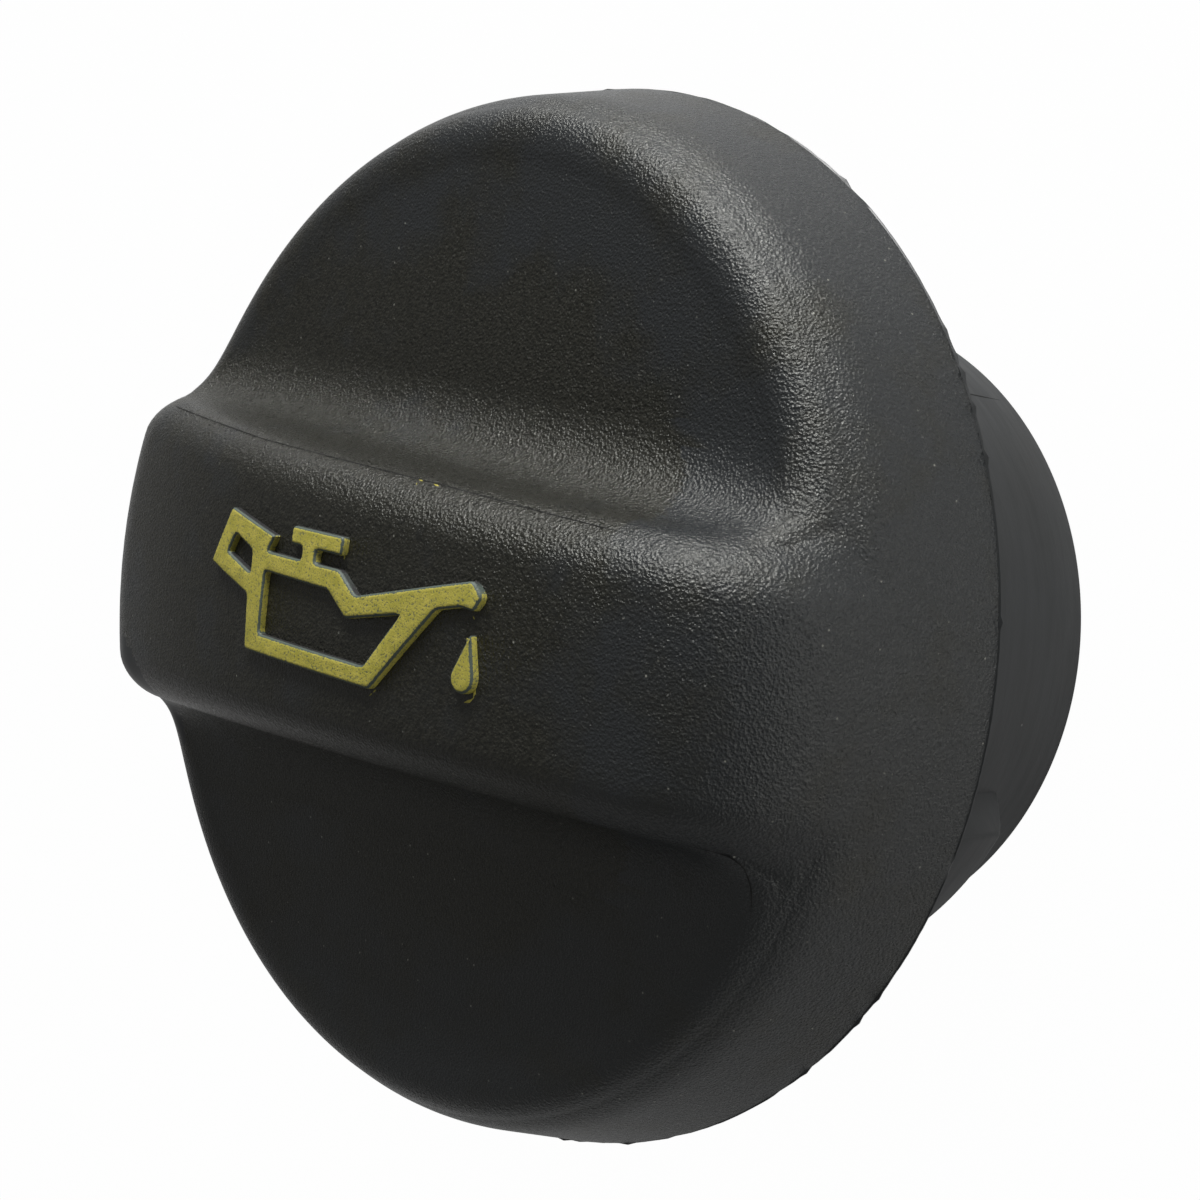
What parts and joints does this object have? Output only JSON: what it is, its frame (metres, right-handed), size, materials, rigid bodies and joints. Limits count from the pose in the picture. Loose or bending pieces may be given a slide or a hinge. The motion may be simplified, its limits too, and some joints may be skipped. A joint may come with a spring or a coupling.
{
  "type": "engine oil filler cap",
  "caption": "Black moulded oil filler cap: round head with a grip bar between two finger scoops, a raised oil can symbol, hollow neck, bayonet lugs and a seal ring.",
  "frame": {"origin": "centre of the cap's footprint, on its axis at the neck's open end", "axes": "+Z along the cap's axis towards the head's crown, X along the grip bar, the symbol reading upright with +Y up"},
  "size_m": [0.062, 0.062, 0.0437],
  "materials": {
    "cap_plastic": "black glass-filled nylon, fine grained on the head and smooth satin on the neck",
    "seal_rubber": "plain moulded black rubber",
    "symbol_paint": "yellow paint on raised black plastic, thin and speckled at its edges"
  },
  "bodies": {
    "root": {"cap_body": "cap_plastic", "seal_ring": "seal_rubber", "oil_symbol": "symbol_paint"}
  },
  "joints": []
}
